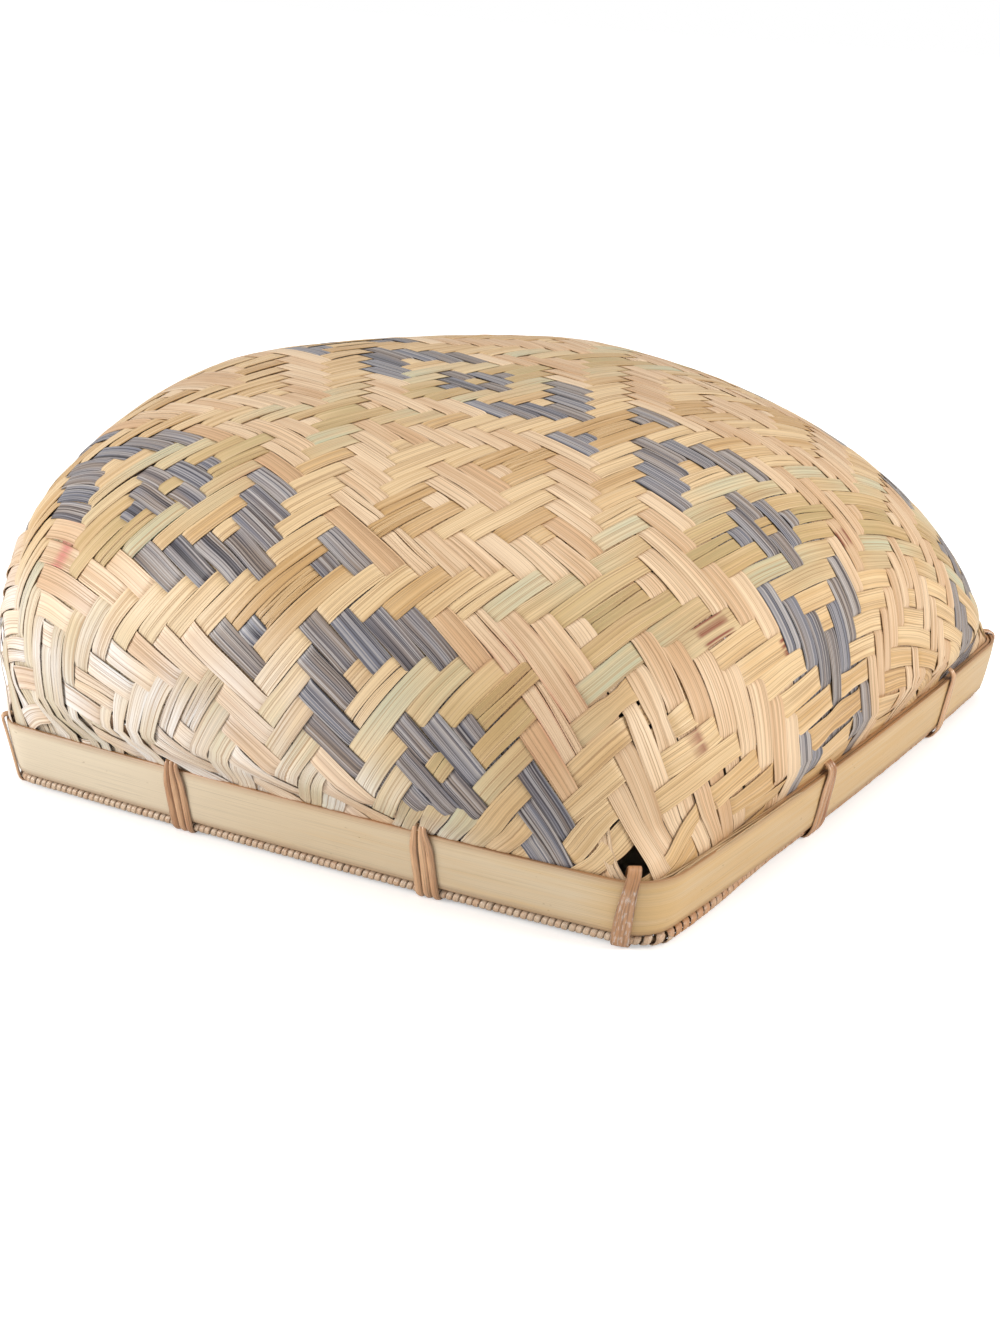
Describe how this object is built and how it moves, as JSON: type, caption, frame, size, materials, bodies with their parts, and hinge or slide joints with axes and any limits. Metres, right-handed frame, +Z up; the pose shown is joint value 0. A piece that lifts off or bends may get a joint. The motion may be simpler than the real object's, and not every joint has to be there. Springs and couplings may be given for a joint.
{
  "type": "woven basket tray",
  "caption": "Deep square tray woven in twill from split strips, its mouth edged with flat bamboo hoops, a lashed cane bead and tied strands; stored mouth down.",
  "frame": {"origin": "on the floor that the tray stands on mouth down, at the middle of its bounding box", "axes": "+Z up through the crown, which is away from the mouth; +X towards the side where the outer hoop's ends lap; -Y towards the side at the picture's lower left"},
  "size_m": [0.3728, 0.3902, 0.1667],
  "materials": {
    "woven_body": "natural split cane, matt with a slight silk",
    "outer_hoop": "split bamboo strip, outer skin, satin",
    "inner_hoop": "split bamboo strip, satin",
    "edge_core": "round cane, matt",
    "edge_lashing": "narrow split cane, semi-matt",
    "tie": "flat cane strands, semi-gloss"
  },
  "bodies": {
    "root": {"woven_body": "woven_body", "outer_hoop": "outer_hoop", "inner_hoop": "inner_hoop", "edge_core": "edge_core", "edge_lashing": "edge_lashing", "tie_near_corner": "tie", "tie_right_a": "tie", "tie_right_b": "tie", "tie_right_corner": "tie", "tie_back_a": "tie", "tie_back_b": "tie", "tie_far_corner": "tie", "tie_left_a": "tie", "tie_left_b": "tie", "tie_left_corner": "tie", "tie_front_a": "tie", "tie_front_b": "tie"}
  },
  "joints": []
}
